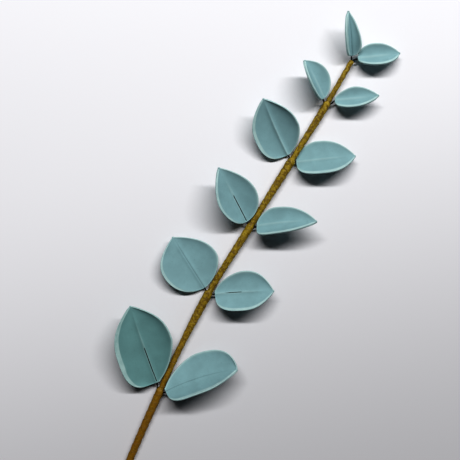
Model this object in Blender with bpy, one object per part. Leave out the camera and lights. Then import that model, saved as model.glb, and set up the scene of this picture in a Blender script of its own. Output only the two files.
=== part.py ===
"""Handmade eucalyptus sprig: six pairs of paste leaves on wires, bound to a stem with brown floral tape.

The sprig lies on a flat surface. +Y runs along the stem from its cut end to the top pair of leaves, +X is
the right-hand side seen from above and +Z is up. Sizes below are in millimetres and degrees, in a working
frame whose Y starts 32 mm above the cut end. An empty carries every piece, and brings the middle of the
whole sprig's underside to the world's origin.
"""
import math

import bmesh
import bpy
import numpy as np
from mathutils import Vector

MM = 0.001
WELD_DISTANCE = 0.000001

# Stem: its centre line as Y, X and height, from the cut end to the top.
STEM_LINE = (
    (-32.0, 3.5, 1.26),
    (-12.0, 1.8, 1.38),
    (10.0, -0.5, 1.75),
    (31.0, -2.4, 2.10),
    (52.0, -3.9, 2.20),
    (74.0, -4.4, 2.25),
    (107.0, -2.8, 2.30),
    (138.0, -1.2, 2.20),
    (164.0, 0.0, 2.40),
    (183.6, 0.3, 2.90),
)
CUT_END_Y = -32.0
TOP_END_Y = 183.6

# Tape: its outer radius at heights along the stem. It starts afresh with a collar below each pair of leaves.
COLLARS = (
    # height of the collar, radius above it, radius below it, radius half way down to the next one
    (164.0, 1.00, 1.50, 1.30),
    (137.0, 1.10, 1.70, 1.45),
    (106.0, 1.12, 1.56, 1.36),
    (74.2, 1.20, 1.74, 1.26),
    (30.4, 1.12, 1.62, 1.44),
)
COLLAR_HALF_STEP = 0.5
WIRE_HOLD = 8.5
TAPE_SLIMMING = 0.08
TOP_RADIUS = 1.0
CUT_END_RADIUS = 1.42
WRAP_PITCH = 4.0
WRAP_RELIEF = 0.06
WRAP_SLANT = 1.1
SLANT_FADE_RINGS = 2
TAPE_ROUNDNESS = 4
FLAT_SPOT_MIDDLE = (1.5, -12.0, -2.0)
FLAT_SPOT_CUT = (12.0, 60.0, 4.0)

# Wires: the core that runs through the stem, and the finer one in each leaf.
CORE_RADIUS = 0.45
CORE_TOP_Y = 171.0
CORE_POINTS = 42
LEAF_WIRE_RADIUS = 0.25
WIRE_CLEARANCE = 0.12
WIRE_END_CLEARANCE = 0.3
WIRE_SPACING = CORE_RADIUS + LEAF_WIRE_RADIUS + WIRE_CLEARANCE
TOP_WIRE_SPACING = LEAF_WIRE_RADIUS + WIRE_CLEARANCE / 2
WIRE_ROUNDNESS = 2
# How a leaf wire leaves the tape: distance below the place where it comes out, and distance outwards.
WIRE_APPROACH = ((7.5, 0.0), (5.0, 0.0), (3.0, 0.02), (1.6, 0.12))
WIRE_EXIT_STEP = 0.5
TOP_WIRE_EXIT_STEP = 0.05
WIRE_EXIT_HEADING = (0.54, 0.84)
WIRE_BRIDGE_SHARES = (0.0, 0.25, 0.5, 0.75)
WIRE_BLADE_SHARES = (0.0, 0.12, 0.3, 0.5, 0.75, 1.0)

# Leaves: shapes that all of them share.
ROWS = 12
ROW_CROWDING = 0.7
COLUMNS = (-1.0, -0.92, -0.7, -0.4, -0.13, 0.0, 0.13, 0.4, 0.7, 0.92, 1.0)
RIM_THICKNESS = 0.7
BLADE_THICKNESS = 1.1
MIDRIB_THICKNESS = 1.75
MIDRIB_HALF_WIDTH = 0.95
RIDGE_HEIGHT = 0.35
RIDGE_FADE = 4
NECK_HALF_WIDTH = 1.1
TIP_HALF_WIDTH = 0.4
BURIED_DEPTH = 0.9
SHOWING_DEPTH = 0.15
SHOWING_FADE = 0.08
FINE_STEPS = 64


def leaf_sizes(base, heading, length, width, pitch, roll, fold, curl, height, leaves_at, **special):
    """One leaf's driving sizes, with the shape values that most leaves share filled in.

    base is the X and Y of the leaf's foot and height its level. heading turns from +Y towards +X. pitch is
    the midrib's rise at the foot, and droop how much of it is lost by the tip. roll lifts the left edge.
    fold and curl are the slope across the blade at the midrib and at the rim. widest is the place of the
    greatest width along the leaf, and skew moves it up on the left side and down on the right. tip_form,
    foot_form and stem_side_form, for the side of the foot that lies next to the stem, are higher for fuller
    ends, and blunt makes the left side of the tip fuller than the right. rounded draws that side in to the
    tip as a round corner.
    bend turns the midrib sideways from foot to tip. leaves_at is where the wire comes out of the tape, and
    wire_reach the part of the leaf that it runs through. A showing wire lies in a slit of the upper face,
    between the two given parts of the length. A leaf that rests is set down on the surface.
    """
    sizes = {
        "base": base, "heading": heading, "length": length, "width": width, "pitch": pitch, "roll": roll,
        "fold": fold, "curl": curl, "height": height, "leaves_at": leaves_at, "droop": 0.0, "bend": 0.0,
        "widest": 0.43, "skew": 0.0, "tip_form": 2.4, "foot_form": 2.2, "stem_side_form": 1.6, "blunt": 0.0,
        "rounded": 0.0, "wire_reach": 0.5, "showing": None, "rests": False,
    }
    sizes.update(special)
    return sizes


# Leaves: name, then sizes. The pairs are numbered from the top of the sprig.
LEAVES = {
    "leaf_1_left": leaf_sizes(
        (-0.8, 185.4), -37, 17.4, 8.2, 27, 14, 41, 59, 3.6, 183.9,
        droop=12, widest=0.39, skew=0.11, tip_form=1.7, foot_form=2.8, stem_side_form=2.0, bend=-3),
    "leaf_1_right": leaf_sizes(
        (2.0, 185.6), 54, 16.9, 10.2, 9, -16, 23, 49, 3.4, 183.9,
        droop=16, skew=-0.06, tip_form=2.3, foot_form=1.8, stem_side_form=2.0, bend=-8),
    "leaf_2_left": leaf_sizes(
        (-2.4, 164.5), -58, 17.0, 12.2, 19, 36, 23, 51, 4.6, 163.6,
        widest=0.45, foot_form=2.0, stem_side_form=1.8, bend=-4),
    "leaf_2_right": leaf_sizes(
        (2.2, 166.4), 56, 17.3, 9.2, 16, -18, 21, 45, 3.0, 164.4,
        droop=6, widest=0.45, tip_form=2.0, bend=-8),
    "leaf_3_left": leaf_sizes(
        (-3.8, 138.1), -55, 25.3, 19.0, 17, -8, 2, 40, 1.8, 137.2,
        droop=-11, widest=0.42, foot_form=2.6, bend=5, rests=True),
    "leaf_3_right": leaf_sizes(
        (0.9, 137.2), 55, 23.6, 15.2, 15, -26, 7, 41, 1.8, 136.4,
        droop=12, widest=0.42, skew=-0.06, tip_form=2.6, foot_form=2.6, stem_side_form=1.8, rests=True),
    "leaf_4_left": leaf_sizes(
        (-5.2, 106.5), -57, 25.0, 18.0, 20, 16, 17, 42, 3.1, 105.6,
        widest=0.44, skew=0.03, tip_form=2.0, foot_form=1.8, stem_side_form=1.9, showing=(0.03, 0.47)),
    "leaf_4_right": leaf_sizes(
        (-0.5, 106.9), 56, 24.6, 12.8, 21, -32, 14, 49, 3.3, 105.6,
        widest=0.32, tip_form=2.5, foot_form=3.2, stem_side_form=1.7, bend=10),
    "leaf_5_left": leaf_sizes(
        (-7.0, 74.8), -61, 24.1, 23.2, 5, 3, 1, 26, 2.4, 74.0,
        droop=-5, widest=0.45, skew=0.05, foot_form=2.0, stem_side_form=1.7, blunt=0.2, rests=True),
    "leaf_5_right": leaf_sizes(
        (-1.9, 74.8), 57, 23.8, 16.6, 12, -16, 8, 40, 2.8, 73.8,
        widest=0.48, skew=0.03, tip_form=2.7, foot_form=2.6, bend=5, showing=(0.16, 0.44)),
    "leaf_6_left": leaf_sizes(
        (-5.1, 32.4), -47, 33.4, 23.9, 13, 6, 1, 42, 2.6, 30.0,
        skew=-0.05, tip_form=2.8, foot_form=3.0, stem_side_form=1.4, bend=3, showing=(0.06, 0.44)),
    "leaf_6_right": leaf_sizes(
        (-0.2, 31.3), 42, 30.8, 19.6, -3, -42, 11, 45, 4.7, 29.6,
        droop=-28, widest=0.44, skew=0.06, tip_form=3.3, foot_form=3.0, stem_side_form=1.4, rounded=0.4,
        bend=14),
}

# Materials: colour, roughness, metallic.
FINISHES = {
    "leaf_paste": ((0.235, 0.365, 0.375), 0.85, 0.0),
    "lowest_leaf_paste": ((0.105, 0.215, 0.215), 0.85, 0.0),
    "dark_wire": ((0.030, 0.032, 0.026), 0.60, 0.3),
    "core_steel": ((0.420, 0.400, 0.370), 0.45, 1.0),
    "floral_tape": ((0.180, 0.115, 0.038), 0.80, 0.0),
}


def clear_scene():
    for old in list(bpy.data.objects):
        bpy.data.objects.remove(old, do_unlink=True)


def new_collection(name):
    collection = bpy.data.collections.new(name)
    bpy.context.scene.collection.children.link(collection)
    return collection


def finish_material(name):
    """The Principled material of one finish, made once."""
    material = bpy.data.materials.get(name)
    if material is None:
        colour, roughness, metallic = FINISHES[name]
        material = bpy.data.materials.new(name)
        material.use_nodes = True
        shader = material.node_tree.nodes["Principled BSDF"]
        shader.inputs["Base Color"].default_value = (*colour, 1.0)
        shader.inputs["Roughness"].default_value = roughness
        shader.inputs["Metallic"].default_value = metallic
    return material


def stem_point(y):
    """A point on the stem's centre line: a smooth curve through STEM_LINE, straight on beyond its ends."""
    line = np.array(STEM_LINE)
    heights, route = line[:, 0], line[:, 1:]
    slopes = np.gradient(route, heights, axis=0)
    i = int(np.clip(np.searchsorted(heights, y) - 1, 0, len(heights) - 2))
    span = heights[i + 1] - heights[i]
    u = float(np.clip((y - heights[i]) / span, 0.0, 1.0))
    past = y - heights[i] - u * span
    blend = np.array((
        2 * u**3 - 3 * u**2 + 1,
        (u**3 - 2 * u**2 + u) * span,
        3 * u**2 - 2 * u**3,
        (u**3 - u**2) * span,
    ))
    x, z = blend @ np.array((route[i], slopes[i], route[i + 1], slopes[i + 1]))
    end_slope = slopes[i + 1] if past > 0 else slopes[i]
    return Vector((x + past * end_slope[0], y, z + past * end_slope[1]))


def tape_radius(y):
    """The tape's outer radius: collars below the leaf pairs, slimmer between them."""
    knots = [(TOP_END_Y, TOP_RADIUS)]
    ends = [collar[0] for collar in COLLARS[1:]] + [CUT_END_Y]
    for (at, above, below, half_way), next_at in zip(COLLARS, ends):
        knots += [
            (at + COLLAR_HALF_STEP, above),
            (at - COLLAR_HALF_STEP, below),
            (at - WIRE_HOLD, below - TAPE_SLIMMING),
            ((at + next_at) / 2, half_way),
        ]
    knots.append((CUT_END_Y, CUT_END_RADIUS))
    knots.reverse()
    return float(np.interp(y, [knot[0] for knot in knots], [knot[1] for knot in knots]))


def run_of(angles, steps):
    """How far a line goes along and up whose slope is given, in radians, at each of its steps."""
    along = np.concatenate(([0.0], np.cumsum(np.cos(angles[1:]) + np.cos(angles[:-1])) / 2))
    up = np.concatenate(([0.0], np.cumsum(np.sin(angles[1:]) + np.sin(angles[:-1])) / 2))
    return along / steps, up / steps


def half_width(leaf, t, side):
    """Half the blade's width at t along the leaf, on its left (side < 0) or right."""
    widest = leaf["widest"] - side * leaf["skew"]
    tip_form = leaf["tip_form"] - side * leaf["blunt"]
    if t < widest:
        next_to_stem = side * leaf["heading"] < 0
        form = leaf["stem_side_form"] if next_to_stem else leaf["foot_form"]
        share = (1 - ((widest - t) / widest) ** form) ** (1 / form)
    else:
        power = 1 - leaf["rounded"] if side < 0 else 1.0
        share = (1 - ((t - widest) / (1 - widest)) ** tip_form) ** power
    end = NECK_HALF_WIDTH * (1 - t) + TIP_HALF_WIDTH * t
    return math.hypot(max(share, 0.0) * leaf["width"] / 2, end)


def midrib_frame(leaf, t):
    """The midrib's point and its forward, rightward and upward directions at t along the leaf."""
    steps = np.linspace(0.0, 1.0, FINE_STEPS + 1)
    rise = np.radians(leaf["pitch"] - leaf["droop"] * steps)
    turn = np.radians(leaf["heading"] + leaf["bend"] * (steps - 0.5))
    forward = np.stack((np.cos(rise) * np.sin(turn), np.cos(rise) * np.cos(turn), np.sin(rise)), axis=1)
    route = np.vstack(([0.0, 0.0, 0.0], np.cumsum((forward[1:] + forward[:-1]) / 2, axis=0)))
    route *= leaf["length"] / FINE_STEPS
    place = Vector([np.interp(t, steps, route[:, axis]) for axis in range(3)])
    ahead = Vector([np.interp(t, steps, forward[:, axis]) for axis in range(3)]).normalized()
    level = ahead.cross(Vector((0.0, 0.0, 1.0))).normalized()
    upright = level.cross(ahead)
    roll = math.radians(leaf["roll"])
    right = level * math.cos(roll) - upright * math.sin(roll)
    up = level * math.sin(roll) + upright * math.cos(roll)
    return place + Vector((*leaf["base"], leaf["height"])), ahead, right, up


def blade_point(leaf, t, s, underside=False):
    """A point on the blade, t from foot to tip and s from the left rim (-1) to the right one (1)."""
    side = math.copysign(1.0, s)
    reach = abs(s)
    parts = np.linspace(0.0, 1.0, FINE_STEPS + 1)
    slopes = np.radians(leaf["fold"] + (leaf["curl"] - leaf["fold"]) * parts**2)
    outward, upward = run_of(slopes, FINE_STEPS)
    width = half_width(leaf, t, side)
    across = width * float(np.interp(reach, parts, outward))
    lift = width * float(np.interp(reach, parts, upward))
    lift += RIDGE_HEIGHT * math.exp(-((across / MIDRIB_HALF_WIDTH) ** 2)) * (1 - t**RIDGE_FADE)
    if underside:
        slope = float(np.interp(reach, parts, slopes)) * min(across / MIDRIB_HALF_WIDTH, 1.0)
        thickness = blade_thickness(leaf, t, s)
        across += thickness * math.sin(slope)
        lift -= thickness * math.cos(slope)
    place, _, right, up = midrib_frame(leaf, t)
    return place + right * (side * across) + up * lift


def row_place(row):
    """Rows lie closer together at the foot and the tip, where the outline turns fastest."""
    u = row / ROWS
    return u + ROW_CROWDING * ((1 - math.cos(math.pi * u)) / 2 - u)


def blade_thickness(leaf, t, s):
    """The paste's thickness: fullest along the midrib, thinned to a soft edge at the rim and the tip."""
    if t == 1.0 or abs(s) == 1.0:
        return RIM_THICKNESS
    across = abs(s) * half_width(leaf, t, math.copysign(1.0, s))
    middle = math.exp(-((across / MIDRIB_HALF_WIDTH) ** 2)) * (1 - t**RIDGE_FADE)
    return BLADE_THICKNESS + (MIDRIB_THICKNESS - BLADE_THICKNESS) * middle


def make_blade(name, leaf, collection):
    """A leaf's blade: a flat grid extruded to two faces, which are then bent to the leaf's shape."""
    form = bmesh.new()
    bmesh.ops.create_grid(form, x_segments=len(COLUMNS) - 1, y_segments=ROWS, size=1.0)
    underside = set(form.verts)
    bmesh.ops.extrude_face_region(form, geom=form.faces, use_keep_orig=True)
    bmesh.ops.triangulate(form, faces=form.faces)
    column_step = 2.0 / (len(COLUMNS) - 1)
    row_step = 2.0 / ROWS
    for vertex in form.verts:
        s = COLUMNS[round((vertex.co.x + 1.0) / column_step)]
        t = row_place(round((vertex.co.y + 1.0) / row_step))
        vertex.co = blade_point(leaf, t, s, vertex in underside) * MM
    bmesh.ops.recalc_face_normals(form, faces=form.faces)
    if form.calc_volume(signed=True) < 0:
        bmesh.ops.reverse_faces(form, faces=form.faces)
    mesh = bpy.data.meshes.new(name)
    form.to_mesh(mesh)
    form.free()
    blade = bpy.data.objects.new(name, mesh)
    collection.objects.link(blade)
    return blade


def tube(name, points, radius, roundness, collection):
    """A closed round tube along a route, as a mesh. radius is one number, or one for each point."""
    radii = radius if isinstance(radius, list) else [radius] * len(points)
    curve = bpy.data.curves.new(name + "_route", "CURVE")
    curve.dimensions = "3D"
    curve.bevel_depth = MM
    curve.bevel_resolution = roundness
    curve.use_fill_caps = True
    spline = curve.splines.new("POLY")
    spline.points.add(len(points) - 1)
    for knot, place, size in zip(spline.points, points, radii):
        knot.co = (*(place * MM), 1.0)
        knot.radius = size
    route = bpy.data.objects.new(name + "_route", curve)
    collection.objects.link(route)
    shape = route.evaluated_get(bpy.context.evaluated_depsgraph_get())
    mesh = bpy.data.meshes.new_from_object(shape)
    mesh.name = name
    form = bmesh.new()
    form.from_mesh(mesh)
    bmesh.ops.remove_doubles(form, verts=form.verts, dist=WELD_DISTANCE)
    bmesh.ops.recalc_face_normals(form, faces=form.faces)
    form.to_mesh(mesh)
    form.free()
    piece = bpy.data.objects.new(name, mesh)
    piece.matrix_world = route.matrix_world
    collection.objects.link(piece)
    bpy.data.objects.remove(route, do_unlink=True)
    return piece


def cut_from(piece, cutter):
    """Takes a cutter's shape out of a piece, and keeps the cutter as a hidden wire frame."""
    cut = piece.modifiers.new("room for " + cutter.name, "BOOLEAN")
    cut.operation = "DIFFERENCE"
    cut.solver = "EXACT"
    cut.object = cutter
    cutter.hide_render = True
    cutter.display_type = "WIRE"


def wire_depth(leaf, t):
    """How far the leaf wire's middle lies below the blade's upper face."""
    if leaf["showing"] is None:
        return BURIED_DEPTH
    first, _ = leaf["showing"]
    rise = np.interp(t, (first, first + SHOWING_FADE), (0.0, 1.0))
    return BURIED_DEPTH + (SHOWING_DEPTH - BURIED_DEPTH) * float(rise)


def leaf_wire_route(name, leaf):
    """A leaf wire's route: beside the core in the tape, out at the collar, and along the leaf's midrib."""
    out = -1.0 if name.endswith("left") else 1.0
    top_pair = name.startswith("leaf_1")
    spacing = TOP_WIRE_SPACING if top_pair else WIRE_SPACING
    leaves_at = leaf["leaves_at"]
    route = []
    for below, extra in WIRE_APPROACH:
        route.append(stem_point(leaves_at - below) + Vector((out * (spacing + extra), 0.0, 0.0)))

    exit_spacing = spacing + (TOP_WIRE_EXIT_STEP if top_pair else WIRE_EXIT_STEP)
    start = stem_point(leaves_at) + Vector((out * exit_spacing, 0.0, 0.0))
    place, ahead, _, up = midrib_frame(leaf, 0.0)
    foot = place + up * (RIDGE_HEIGHT - wire_depth(leaf, 0.0))
    gap = (foot - start).length
    start_pull = Vector((out * WIRE_EXIT_HEADING[0], WIRE_EXIT_HEADING[1], 0.0)) * gap
    foot_pull = ahead * gap
    for u in WIRE_BRIDGE_SHARES:
        route.append(
            start * (2 * u**3 - 3 * u**2 + 1) + start_pull * (u**3 - 2 * u**2 + u)
            + foot * (3 * u**2 - 2 * u**3) + foot_pull * (u**3 - u**2))

    for share in WIRE_BLADE_SHARES:
        t = leaf["wire_reach"] * share
        _, _, _, up = midrib_frame(leaf, t)
        route.append(blade_point(leaf, t, 0.0) - up * wire_depth(leaf, t))
    return route


def lengthened(route, extra):
    """The route with its two ends moved outwards, for the room that a wire lies in."""
    first = route[0] + (route[0] - route[1]).normalized() * extra
    last = route[-1] + (route[-1] - route[-2]).normalized() * extra
    return [first] + route[1:-1] + [last]


def set_on_surface(name, leaf):
    """Sets a resting leaf's height so that its lowest corner touches the surface."""
    trial = make_blade(name, leaf, bpy.context.scene.collection)
    lowest = min(vertex.co.z for vertex in trial.data.vertices) / MM
    bpy.data.objects.remove(trial, do_unlink=True)
    leaf["height"] -= lowest


def make_tape(parts):
    """The binding tape: a tube with collars, swelling and slanting a little at each of its wraps."""
    wraps = round((TOP_END_Y - CUT_END_Y) / WRAP_PITCH)
    last = 2 * wraps
    rings = np.linspace(CUT_END_Y, TOP_END_Y, last + 1)
    radii = [tape_radius(y) for y in rings]
    tape = tube("stem_tape", [stem_point(y) for y in rings], radii, TAPE_ROUNDNESS, parts)
    for vertex in tape.data.vertices:
        place = vertex.co / MM
        ring = int(np.argmin(abs(rings - place.y)))
        if 0 < ring < last:
            centre = stem_point(rings[ring])
            outward = (place - centre).normalized()
            relief = WRAP_RELIEF if ring % 2 else -WRAP_RELIEF
            evenness = min(ring, last - ring, SLANT_FADE_RINGS) / SLANT_FADE_RINGS
            slant = WRAP_SLANT * outward.x * evenness
            place += outward * relief + stem_point(centre.y + slant) - centre
            vertex.co = place * MM
    return tape


def make_flat_spot(tape, cutters):
    """Takes the tape off below the surface, which leaves the flat spot that the cut end lies on."""
    form = bmesh.new()
    bmesh.ops.create_cube(form, size=1.0)
    mesh = bpy.data.meshes.new("below_the_surface")
    for vertex in form.verts:
        vertex.co = Vector(FLAT_SPOT_MIDDLE) * MM + Vector(np.multiply(vertex.co, FLAT_SPOT_CUT) * MM)
    form.to_mesh(mesh)
    form.free()
    below = bpy.data.objects.new(mesh.name, mesh)
    cutters.objects.link(below)
    cut_from(tape, below)


def bring_to_origin(parts, cutters):
    """Hangs every piece on an empty that puts the middle of the sprig's underside at the origin."""
    shapes = bpy.context.evaluated_depsgraph_get()
    corners = []
    for piece in parts.objects:
        mesh = piece.evaluated_get(shapes).data
        corners += [vertex.co.copy() for vertex in mesh.vertices]
    corners = np.array(corners)
    lowest, highest = corners.min(axis=0), corners.max(axis=0)
    middle = (lowest + highest) / 2
    origin = bpy.data.objects.new("sprig_origin", None)
    origin.location = (-middle[0], -middle[1], -lowest[2])
    bpy.context.scene.collection.objects.link(origin)
    for piece in list(parts.objects) + list(cutters.objects):
        piece.parent = origin


def main():
    clear_scene()
    parts = new_collection("eucalyptus_sprig")
    cutters = new_collection("room_for_pieces")

    tape = make_tape(parts)
    tape.data.materials.append(finish_material("floral_tape"))
    make_flat_spot(tape, cutters)

    core_route = [stem_point(y) for y in np.linspace(CUT_END_Y, CORE_TOP_Y, CORE_POINTS)]
    core = tube("stem_wire", core_route, CORE_RADIUS, WIRE_ROUNDNESS, parts)
    core.data.materials.append(finish_material("core_steel"))
    core_room = tube(
        "room_for_stem_wire", lengthened(core_route, WIRE_END_CLEARANCE),
        CORE_RADIUS + WIRE_CLEARANCE, WIRE_ROUNDNESS, cutters)
    cut_from(tape, core_room)

    for name, leaf in LEAVES.items():
        if leaf["rests"]:
            set_on_surface(name, leaf)
        blade = make_blade(name, leaf, parts)
        paste = "lowest_leaf_paste" if name == "leaf_6_left" else "leaf_paste"
        blade.data.materials.append(finish_material(paste))
        route = leaf_wire_route(name, leaf)
        wire = tube(name + "_wire", route, LEAF_WIRE_RADIUS, WIRE_ROUNDNESS, parts)
        wire.data.materials.append(finish_material("dark_wire"))
        room = tube(
            "room_for_" + name + "_wire", lengthened(route, WIRE_END_CLEARANCE),
            LEAF_WIRE_RADIUS + WIRE_CLEARANCE, WIRE_ROUNDNESS, cutters)
        cut_from(blade, room)
        cut_from(tape, room)

    bring_to_origin(parts, cutters)


main()
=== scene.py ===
"""Looks of the handmade eucalyptus sprig: finer leaves, wires and wound tape in place of the plain solids.

Sizes are in millimetres and degrees, in the working frame of the sprig's solids: its Y runs up the stem and
starts 32 mm above the cut end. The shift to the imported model's frame is read off one packed leaf.
"""
import math

import bmesh
import bpy
import numpy as np
from mathutils import Matrix, Vector


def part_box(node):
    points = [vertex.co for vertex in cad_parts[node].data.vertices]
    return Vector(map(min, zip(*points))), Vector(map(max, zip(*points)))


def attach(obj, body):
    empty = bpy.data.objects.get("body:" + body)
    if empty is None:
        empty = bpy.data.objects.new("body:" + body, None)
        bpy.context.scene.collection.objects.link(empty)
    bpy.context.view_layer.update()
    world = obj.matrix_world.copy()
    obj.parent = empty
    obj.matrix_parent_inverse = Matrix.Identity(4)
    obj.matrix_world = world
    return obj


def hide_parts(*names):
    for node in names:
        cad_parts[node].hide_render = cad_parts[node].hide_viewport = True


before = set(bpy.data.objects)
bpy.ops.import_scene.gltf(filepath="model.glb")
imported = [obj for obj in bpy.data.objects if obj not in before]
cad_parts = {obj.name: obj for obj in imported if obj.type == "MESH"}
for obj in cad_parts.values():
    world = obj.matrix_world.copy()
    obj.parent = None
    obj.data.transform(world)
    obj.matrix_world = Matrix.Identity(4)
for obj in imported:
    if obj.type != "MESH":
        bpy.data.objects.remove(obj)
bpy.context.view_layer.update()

bl_info = {
    "name": "Eucalyptus sprig",
    "version": (1, 0, 0),
    "blender": (4, 5, 0),
    "location": "3D View > Sidebar > Sprig",
    "description": "Paste leaves on wires, a stem wound with floral tape, and a table to lay them on",
    "category": "Add Mesh",
}

MM = 0.001
BODY = "root"

# Stem: its centre line as Y, X and height, from the cut end to the top.
STEM_LINE = (
    (-32.0, 3.5, 1.26),
    (-12.0, 1.8, 1.38),
    (10.0, -0.5, 1.75),
    (31.0, -2.4, 2.10),
    (52.0, -3.9, 2.20),
    (74.0, -4.4, 2.25),
    (107.0, -2.8, 2.30),
    (138.0, -1.2, 2.20),
    (164.0, 0.0, 2.40),
    (183.6, 0.3, 2.90),
)
CUT_END_Y = -32.0
TOP_END_Y = 183.6

# Tape: its outer radius at places up the stem. It starts afresh with a collar below each pair of leaves.
COLLARS = (
    # place of the collar, radius above it, radius below it, radius half way down to the next one
    (164.0, 1.00, 1.50, 1.30),
    (137.0, 1.10, 1.70, 1.45),
    (106.0, 1.12, 1.56, 1.36),
    (74.2, 1.20, 1.74, 1.26),
    (30.4, 1.12, 1.62, 1.44),
)
COLLAR_HALF_STEP = 0.5
WIRE_HOLD = 8.5
TAPE_SLIMMING = 0.08
TOP_RADIUS = 1.0
CUT_END_RADIUS = 1.42
TAPE_RING_STEP = 0.2
TAPE_END_ROUNDING = 0.4
TAPE_END_SETBACK = 0.35
# Height of the flattened strip under the cut end, just over the table, in metres.
TAPE_REST = 0.00001
# Lowest X, Y and height of the tape's surface, in metres. Only the height is ever reached.
LOWEST_TAPE_PLACE = (-1.0, -1.0, TAPE_REST)
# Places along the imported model's Y, in metres, between which the tape turns redder towards the cut end.
EARTHY_FROM = 0.0
EARTHY_TO = -0.075

# Wires: the core that runs through the stem, and the finer one in each leaf.
CORE_RADIUS = 0.45
CORE_TOP_Y = 171.0
CORE_RING_STEP = 1.0
LEAF_WIRE_RADIUS = 0.25
# The cover thickens a leaf wire where it comes out of the tape, and the paste thins it inside the leaf.
COVERED_WIRE_RADIUS = 0.31
PRESSED_WIRE_RADIUS = 0.21
WIRE_CLEARANCE = 0.12
WIRE_SPACING = CORE_RADIUS + LEAF_WIRE_RADIUS + WIRE_CLEARANCE
TOP_WIRE_SPACING = LEAF_WIRE_RADIUS + WIRE_CLEARANCE / 2
# How a leaf wire leaves the tape: distance below the place where it comes out, and distance outwards.
WIRE_APPROACH = ((7.5, 0.0), (5.0, 0.0), (3.0, 0.02), (1.6, 0.12))
WIRE_EXIT_STEP = 0.5
TOP_WIRE_EXIT_STEP = 0.05
WIRE_EXIT_HEADING = (0.54, 0.84)
WIRE_BRIDGE_STEPS = 12
WIRE_BLADE_STEPS = 24
WIRE_FOOT_STEPS = 5
WIRE_SIDES = 16

# Leaves: shapes that all of them share.
ROWS = 12
ROW_CROWDING = 0.7
TIP_FROM = 1.0 - 1e-9
COLUMNS = (-1.0, -0.92, -0.7, -0.4, -0.13, 0.0, 0.13, 0.4, 0.7, 0.92, 1.0)
RIM_THICKNESS = 0.7
BLADE_THICKNESS = 1.1
MIDRIB_THICKNESS = 1.75
MIDRIB_HALF_WIDTH = 0.95
RIDGE_HEIGHT = 0.35
RIDGE_FADE = 4
NECK_HALF_WIDTH = 1.1
TIP_HALF_WIDTH = 0.4
BURIED_DEPTH = 0.9
SHOWING_DEPTH = 0.15
SHOWING_FADE = 0.08
FINE_STEPS = 64

# Leaves: how the finer blades divide the same shapes.
FINE_ROWS = 60
FINE_COLUMNS = 34
COLUMN_CROWDING = 0.82
RIM_ARC_STEPS = 5
END_CAP_STEPS = 4
RIM_SHARE = 0.12
CREST_HALF_WIDTH = 0.38
CREST_HEIGHT = 0.18
CREASE_HALF_WIDTH = 0.30
CREASE_DEPTH = 0.17
SLIT_HALF_WIDTH = 0.13
NEARLY_SHUT_HALF_WIDTH = 0.07
SLIT_OPENING = 0.16
SLIT_FOOT_FADE = 0.01
SLIT_SQUARENESS = 4
BEVEL_DEPTH = 0.30
BEVEL_FADE = 0.12


def leaf_sizes(base, heading, length, width, pitch, roll, fold, curl, height, leaves_at, **special):
    """One leaf's driving sizes, with the shape values that most leaves share filled in."""
    sizes = {
        "base": base, "heading": heading, "length": length, "width": width, "pitch": pitch, "roll": roll,
        "fold": fold, "curl": curl, "height": height, "leaves_at": leaves_at, "droop": 0.0, "bend": 0.0,
        "widest": 0.43, "skew": 0.0, "tip_form": 2.4, "foot_form": 2.2, "stem_side_form": 1.6, "blunt": 0.0,
        "rounded": 0.0, "wire_reach": 0.5, "showing": None, "rests": False,
    }
    sizes.update(special)
    return sizes


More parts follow.
